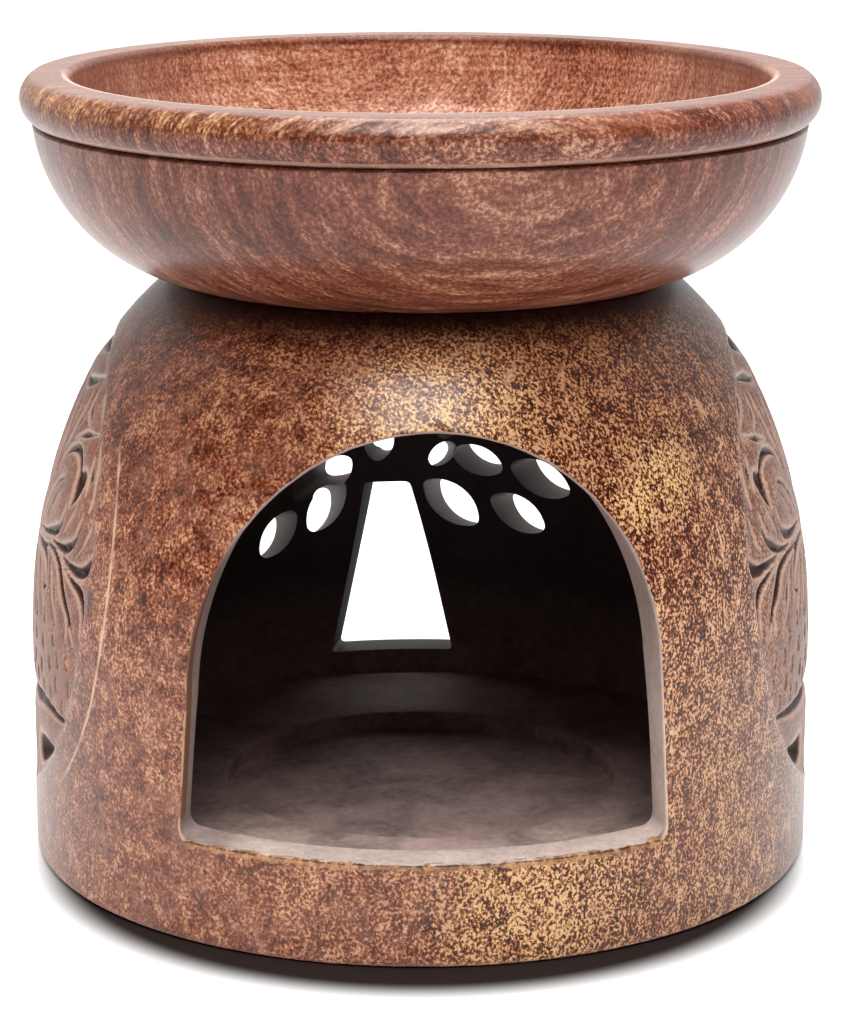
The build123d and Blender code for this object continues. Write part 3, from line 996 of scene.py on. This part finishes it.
def sawn_stone():
    """Cuts through the wall: pale in the doorway with a chipped ochre sill edge and a worn arris with a
    painted highlight, dark with painted shade in the tree.
    """
    material, output, place = new_material("sawn_stone")
    cloud = place.noise(200.0, 4.0, 0.6)
    grain = place.noise(1200.0, 3.0, 0.65)
    colour = (cloud * 0.5 + grain * 0.5).ramp(SAWN_FACE)
    height = place.axis("Z")
    colour = colour.tint(SMOKED_ARCH, height.step(0.016, 0.052))
    out = place.mapped((1, 1, 0)).away((0, 0, 0))
    left = place.axis("X").step(-0.02, -0.025)
    jamb = height.step(0.0142, 0.016)
    colour = colour.tint(LEFT_JAMB, left)
    colour = colour.tint(LEFT_JAMB_EDGE, left * jamb * out.step(0.0476, 0.0482))

    low = height.step(0.0145, 0.0128)
    edge = (out + (cloud - 0.5) * 0.007).step(0.0496, 0.0502)
    chips = place.noise(520.0, 4.0, 0.65).step(0.4, 0.56)
    ochre = (grain * 0.6 + cloud * 0.4).ramp(CHIPPED_OCHRE)
    colour = colour.blend(ochre, edge * low * chips)
    chipped = height.step((CHIP_HEIGHT + 0.12) * MM, CHIP_HEIGHT * MM)
    colour = colour.blend(ochre, chipped)
    chip_line = abs(height - CHIP_HEIGHT * MM).step(0.0001, 0.00003)
    colour = colour.tint(CHIP_SHADOW, chip_line * grain.step(0.6, 0.45))
    # Wear and a painted highlight: a paler, broken line along the outer arris
    arris_wear_and_highlight = out.step(0.05045, 0.0506) * place.noise(420.0, 2.0, 0.5).step(0.36, 0.5)
    colour = colour.blend(WORN_ARRIS_AND_HIGHLIGHT, arris_wear_and_highlight * (0.55 - chipped * 0.4))

    # Painted shade: the cuts of the tree in the back wall darkened
    back = place.axis("Y").step(-0.01, 0.01)
    colour = colour.tint(LEAVES_PAINTED_SHADE, back)
    # Painted shade: the trunk's cut darker still, and its sides near black and rough, so that they show no
    # reflection
    taper = abs(place.axis("X") + 0.004) + (height - TRUNK_FOOT * MM) * 0.2
    trunk = height.step(0.0368, 0.0364) * taper.step(0.0095, 0.0092)
    colour = colour.tint(TRUNK_PAINTED_SHADE, back * trunk)
    trunk_sides = back * trunk * height.step((TRUNK_FOOT + 0.4) * MM, (TRUNK_FOOT + 0.9) * MM)
    colour = colour.tint(TRUNK_SIDES_PAINTED_SHADE, trunk_sides)
    normal = stone_bump(place, grain, 0.4)
    finish_stone(output, colour, cloud * 0.1 + 0.55 + trunk_sides * 0.4, normal, 0.4)
    return material


def bowl_stone():
    """Redder stone whose bedding shows as long streaks across the curve of the bowl."""
    material, output, place = new_material("waxed_bowl_stone")
    bed = place.mapped((1, 1, 1), (radians(-8), radians(6), radians(-14)))
    streaks = bed.mapped((0.55, 4.5, 0.7)).noise(210.0, 5.0, 0.62, 0.5)
    clouds = bed.mapped((0.8, 2.0, 0.8)).noise(42.0, 3.0, 0.6, 0.8)
    flakes = bed.mapped((0.9, 1.7, 0.9)).noise(2000.0, 3.0, 0.7)
    specks = flakes.step(0.3, 0.7) - 0.5
    across = place.axis("X")
    height = place.axis("Z")
    out = place.mapped((1, 1, 0)).away((0, 0, 0))
    rim = height.step((GROOVE_HEIGHT + 0.3) * MM, (GROOVE_HEIGHT + 0.9) * MM)
    level = out.math("MAXIMUM", out - BOWL_INSET * MM, 0.0)
    drop = out.math("MINIMUM", height - BOWL_LEVEL * MM, 0.0)
    inside = out.math("SQRT", level * level + drop * drop).step(0.0183, 0.0176)
    outside = 1 - inside

    def above(low, high):
        """Share of a spot above the level where the wall stands upright, in millimetres."""
        return height.step((BOWL_LEVEL + low) * MM, (BOWL_LEVEL + high) * MM)

    upper_rim = above(0.0, 2.5)
    top_face = above(3.2, 3.6) * outside
    left = across.step(0.0, -0.03) * across.step(-0.0512, -0.0465)
    middle = abs(across).step(0.036, 0.012)

    grain = 0.5 + specks * (0.36 + rim * (0.2 - left * 0.1)) + (streaks - 0.5) * 1.1
    grain = grain + (clouds - 0.5) * 0.45 + upper_rim * (1 - middle) * 0.045
    yellow = upper_rim * left * clouds.step(0.3, 0.55) * outside * (1 - top_face * 0.8)
    colour = grain.ramp(BOWL_GRAINS)
    colour = colour.blend((grain + 0.03).ramp(OCHRE_GRAINS), yellow * 0.75)
    # Painted highlight: a paler band high on the front of the rim
    shoulder = above(1.7, 2.3) * (1 - top_face) * outside
    colour = colour.blend(RIM_BAND_PAINTED_HIGHLIGHT, shoulder * middle * streaks.step(0.4, 0.6) * 0.4)
    ruddy = across.step(0.01, 0.03) * upper_rim * (1 - top_face) * outside
    colour = colour.blend(RUDDY_RIM, ruddy * clouds.step(0.4, 0.55) * 0.5)

    turning = place.mapped((0.03, 0.03, 1)).noise(1300.0, 2.0, 0.6)
    basin = 0.47 + specks * 0.5 + (streaks - 0.5) * 0.6 + (turning - 0.5) * 0.4 + (clouds - 0.5) * 0.7
    colour = colour.blend(basin.ramp(BASIN_GRAINS), inside)
    # Painted sheen: the top face of the rim paler and greyer
    colour = colour.blend(RIM_TOP_PAINTED_SHEEN, top_face * 0.4)
    # Painted highlight: a bright line along the near half of the rim's inner edge
    inner_edge = abs(level - 0.01785).step(0.0004, 0.0002) * above(2.9, 3.3)
    colour = colour.blend(INNER_EDGE_PAINTED_HIGHLIGHT, inner_edge * place.axis("Y").step(0.004, -0.012) * 0.85)
    # Painted shade: the inside darker just under the lip on the far half
    far_edge = inside * above(2.0, 2.9) * place.axis("Y").step(0.0, 0.015)
    colour = colour.tint(FAR_EDGE_PAINTED_SHADE, far_edge)
    # Painted sheen: the basin greyer at its left and right ends
    ends = abs(across).step(0.026, 0.04) * inside
    colour = colour.blend(BASIN_ENDS_PAINTED_SHEEN, ends * 0.4)

    # Painted highlight: a pale line along the foot of the rim, above the groove
    rim_foot = abs(height - (GROOVE_HEIGHT + 0.55) * MM).step(0.0003, 0.00015)
    colour = colour.blend(RIM_FOOT_PAINTED_HIGHLIGHT, rim_foot * outside * 0.5)
    # Dirt and painted shade darken the deep of the groove
    groove = abs(height - (GROOVE_HEIGHT + 0.14) * MM).step(0.00018, 0.0001)
    groove = groove * out.step(GROOVE_EDGE * MM, (GROOVE_EDGE - 0.2) * MM)
    colour = colour.tint(GROOVE_DIRT_AND_SHADE, groove * outside)
    # Painted shade: the outside darker on the right side
    colour = colour.tint(RIGHT_SIDE_PAINTED_SHADE, across.step(0.01, 0.045) * outside)
    normal = stone_bump(place, flakes, 0.16)
    finish_stone(output, colour, 0.22 + clouds * 0.16 + inside * 0.12, normal, 0.33)
    return material


# Camera, floor and light


SHADOW_MIDDLE = (0, -0.0095, 0)
SHADOW_EDGE = (0.0452, 0.0526)
SHADOW_COLOUR = (0.028, 0.02, 0.018)
FLOOR_COLOUR = (0.86, 0.86, 0.86)


def photo_camera():
    """Camera where the photograph was taken from."""
    camera = bpy.data.objects.new("camera", bpy.data.cameras.new("camera"))
    bpy.context.scene.collection.objects.link(camera)
    camera.location = (0, -0.404, 0.1445)
    camera.rotation_euler = (radians(75.9), 0, 0)
    camera.data.lens = 112.5
    camera.data.sensor_width = 36
    camera.data.shift_x = 0.0044
    bpy.context.scene.camera = camera


def seen_ray(start):
    """1 for rays that show a backdrop: from the camera, off gloss or through glass."""
    camera = start.node("ShaderNodeLightPath", {}, {}, 0)
    glossy = start.node("ShaderNodeLightPath", {}, {}, 3)
    through = start.node("ShaderNodeLightPath", {}, {}, 6)
    return start.math("MINIMUM", camera + glossy + through, 1.0)


def white_floor():
    """White floor that keeps the dark of the contact shadow round the base."""
    bm = bmesh.new()
    bmesh.ops.create_grid(bm, x_segments=1, y_segments=1, size=4)
    material, output, place = new_material("white_floor")
    clear = place.away(SHADOW_MIDDLE).step(*SHADOW_EDGE)
    camera = place.node("ShaderNodeLightPath", {}, {}, 0)
    bounce = place.math("MAXIMUM", clear, 1 - camera)
    colour = bounce.ramp([(0.0, SHADOW_COLOUR), (1.0, FLOOR_COLOUR)])
    lit = place.node("ShaderNodeBsdfDiffuse", {}, {"Color": colour})
    glow = place.node("ShaderNodeEmission", {}, {"Color": seen_ray(place) * clear * 0.5, "Strength": 1.0})
    both = place.node("ShaderNodeAddShader", {}, {"Shader": lit, "Shader_001": glow})
    place.tree.links.new(both.socket, output.inputs["Surface"])
    floor = new_piece("white_floor", bm, [material])


def softbox(name, place, aim, size, power):
    """Rectangular lamp that faces a spot."""
    light = bpy.data.lights.new(name, "AREA")
    light.shape = "RECTANGLE"
    light.size, light.size_y = size
    light.energy = power
    lamp = bpy.data.objects.new(name, light)
    bpy.context.scene.collection.objects.link(lamp)
    lamp.location = place
    lamp.rotation_euler = (Vector(aim) - Vector(place)).to_track_quat("-Z", "Y").to_euler()


def white_world():
    """White studio, dim in front of the doorway."""
    world = bpy.data.worlds.new("white_world")
    bpy.context.scene.world = world
    world.use_nodes = True
    tree = world.node_tree
    tree.nodes.clear()
    output = tree.nodes.new("ShaderNodeOutputWorld")
    start = Wire(tree)
    direction = start.node("ShaderNodeTexCoord", {}, {}, 0)
    camera = start.node("ShaderNodeLightPath", {}, {}, 0)
    walls = direction.axis("Y").step(-0.5, 0.35)
    level = start.math("MAXIMUM", 0.06 + walls * (0.58 + seen_ray(start) * 0.15), camera)
    backdrop = start.node("ShaderNodeBackground", {}, {"Color": level, "Strength": 1.0})
    tree.links.new(backdrop.socket, output.inputs["Surface"])


bpy.context.scene.view_settings.view_transform = "Standard"
photo_camera()
white_floor()
white_world()
softbox("front_softbox", (0.0, -0.62, 0.95), (0, 0, 0.05), (0.5, 0.6), 11.0)
softbox("top_softbox", (0.0, 0.12, 1.1), (0, 0, 0.08), (0.5, 0.5), 8.0)

chamber = new_piece("soapstone_chamber", turned_chamber(), [chamber_stone(), hollow_stone(), sawn_stone()])
cut_openings(chamber)
carve(chamber)
smooth_shading(chamber)
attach(chamber, "chamber")
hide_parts("stone_chamber")

bowl = new_piece("soapstone_bowl", turned_bowl(), [bowl_stone()])
smooth_shading(bowl)
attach(bowl, "bowl")
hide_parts("oil_bowl")
